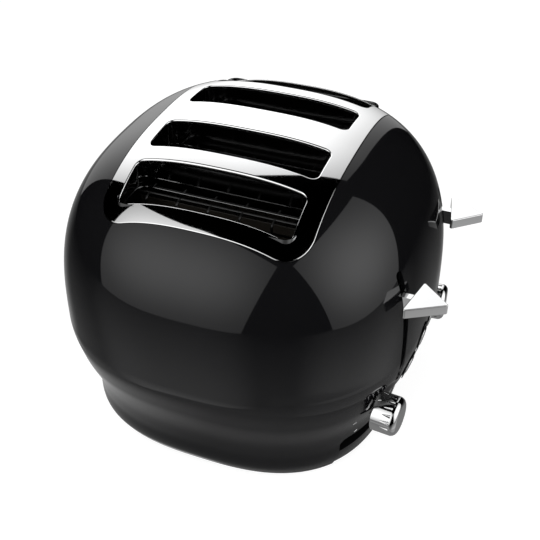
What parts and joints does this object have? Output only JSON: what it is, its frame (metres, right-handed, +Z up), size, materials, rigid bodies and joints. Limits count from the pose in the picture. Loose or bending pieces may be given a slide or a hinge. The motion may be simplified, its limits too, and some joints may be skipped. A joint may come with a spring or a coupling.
{
  "type": "toaster",
  "caption": "Rounded black toaster with a domed chrome crown plate, wide bread slots, twin lift levers, browning knobs, push buttons and a pull-out crumb tray.",
  "frame": {"origin": "on the table, under the middle of the whole length and width, lever handles included", "axes": "+X along the bread slots towards the levers and knobs, -Y is the front half nearer the camera, +Z up"},
  "size_m": [0.3184, 0.3062, 0.2466],
  "materials": {
    "shell_black": "polished",
    "chrome_plate": "polished",
    "bright_steel": "satin",
    "galvanised_steel": "matte",
    "rack_steel": "satin",
    "foot_rubber": "matte",
    "mica": "matte",
    "ribbon_alloy": "satin",
    "knob_chrome": "polished",
    "handle_silver": "satin",
    "shaft_steel": "polished",
    "magnet_iron": "satin",
    "board_green": "matte",
    "switch_black": "matte",
    "screw_steel": "satin"
  },
  "bodies": {
    "housing": {"base_pan": "galvanised_steel", "base_screws": "screw_steel", "bread_guard_1": "rack_steel", "bread_guard_2": "rack_steel", "bread_guard_3": "rack_steel", "bread_guard_4": "rack_steel", "button_bezels": "switch_black", "button_switches": "switch_black", "centre_divider": "galvanised_steel", "chamber_end_far": "bright_steel", "chamber_end_near": "bright_steel", "cord_gland": "foot_rubber", "guide_rods": "shaft_steel", "heater_card_1": "mica", "heater_card_2": "mica", "heater_card_3": "mica", "heater_card_4": "mica", "heater_card_5": "mica", "heater_card_6": "mica", "heater_ribbons": "ribbon_alloy", "latch_magnets": "magnet_iron", "lift_frame_front": "galvanised_steel", "lift_frame_rear": "galvanised_steel", "outer_shell": "shell_black", "return_spring_front": "shaft_steel", "return_spring_rear": "shaft_steel", "rubber_feet": "foot_rubber", "side_reflector_front": "bright_steel", "side_reflector_rear": "bright_steel", "slot_liner_1": "bright_steel", "slot_liner_2": "bright_steel", "slot_liner_3": "bright_steel", "slot_liner_4": "bright_steel", "timer_boards": "board_green", "timer_dials": "switch_black", "top_plate": "chrome_plate"},
    "carriage_front": {"lever_handle_front": "handle_silver", "lever_stem_front": "rack_steel", "lift_bracket_front": "rack_steel", "latch_armature_front": "rack_steel", "bread_rack_1": "rack_steel", "bread_rack_2": "rack_steel"},
    "knob_front": {"browning_knob_front": "knob_chrome", "knob_shaft_front": "shaft_steel"},
    "carriage_rear": {"lever_handle_rear": "handle_silver", "lever_stem_rear": "rack_steel", "lift_bracket_rear": "rack_steel", "latch_armature_rear": "rack_steel", "bread_rack_3": "rack_steel", "bread_rack_4": "rack_steel"},
    "knob_rear": {"browning_knob_rear": "knob_chrome", "knob_shaft_rear": "shaft_steel"},
    "button_front_outer": {"push_button_front_outer": "knob_chrome"},
    "button_front_inner": {"push_button_front_inner": "knob_chrome"},
    "button_rear_inner": {"push_button_rear_inner": "knob_chrome"},
    "button_rear_outer": {"push_button_rear_outer": "knob_chrome"},
    "tray": {"crumb_tray": "galvanised_steel", "crumb_tray_front": "shell_black"}
  },
  "joints": [
    {"name": "carriage_slide_front", "type": "slide", "parent": "housing", "child": "carriage_front", "axis": [0, 0, 1], "range_m": [-0.07, 0.015], "stiffness_N_per_m": 80, "springref_m": 0.0257, "deforming": ["return_spring_front"]},
    {"name": "carriage_slide_rear", "type": "slide", "parent": "housing", "child": "carriage_rear", "axis": [0, 0, 1], "range_m": [-0.07, 0.015], "stiffness_N_per_m": 80, "springref_m": 0.0257, "deforming": ["return_spring_rear"]},
    {"name": "knob_turn_front", "type": "hinge", "parent": "housing", "child": "knob_front", "pos_m": [0.11498, -0.0735, 0.0535], "axis": [0.9962, -0.0872, 0], "range_deg": [-135, 135]},
    {"name": "knob_turn_rear", "type": "hinge", "parent": "housing", "child": "knob_rear", "pos_m": [0.11498, 0.0735, 0.0535], "axis": [0.9962, 0.0872, 0], "range_deg": [-135, 135]},
    {"name": "button_press_front_outer", "type": "slide", "parent": "housing", "child": "button_front_outer", "axis": [-0.9647, 0.0892, 0.2476], "range_m": [0, 0.002], "stiffness_N_per_m": 400, "springref_m": -0.001},
    {"name": "button_press_front_inner", "type": "slide", "parent": "housing", "child": "button_front_inner", "axis": [-0.9856, 0.0196, 0.1682], "range_m": [0, 0.002], "stiffness_N_per_m": 400, "springref_m": -0.001},
    {"name": "button_press_rear_inner", "type": "slide", "parent": "housing", "child": "button_rear_inner", "axis": [-0.9856, -0.0196, 0.1682], "range_m": [0, 0.002], "stiffness_N_per_m": 400, "springref_m": -0.001},
    {"name": "button_press_rear_outer", "type": "slide", "parent": "housing", "child": "button_rear_outer", "axis": [-0.9647, -0.0892, 0.2476], "range_m": [0, 0.002], "stiffness_N_per_m": 400, "springref_m": -0.001},
    {"name": "crumb_tray_slide", "type": "slide", "parent": "housing", "child": "tray", "axis": [1, 0, 0], "range_m": [0, 0.19]}
  ]
}
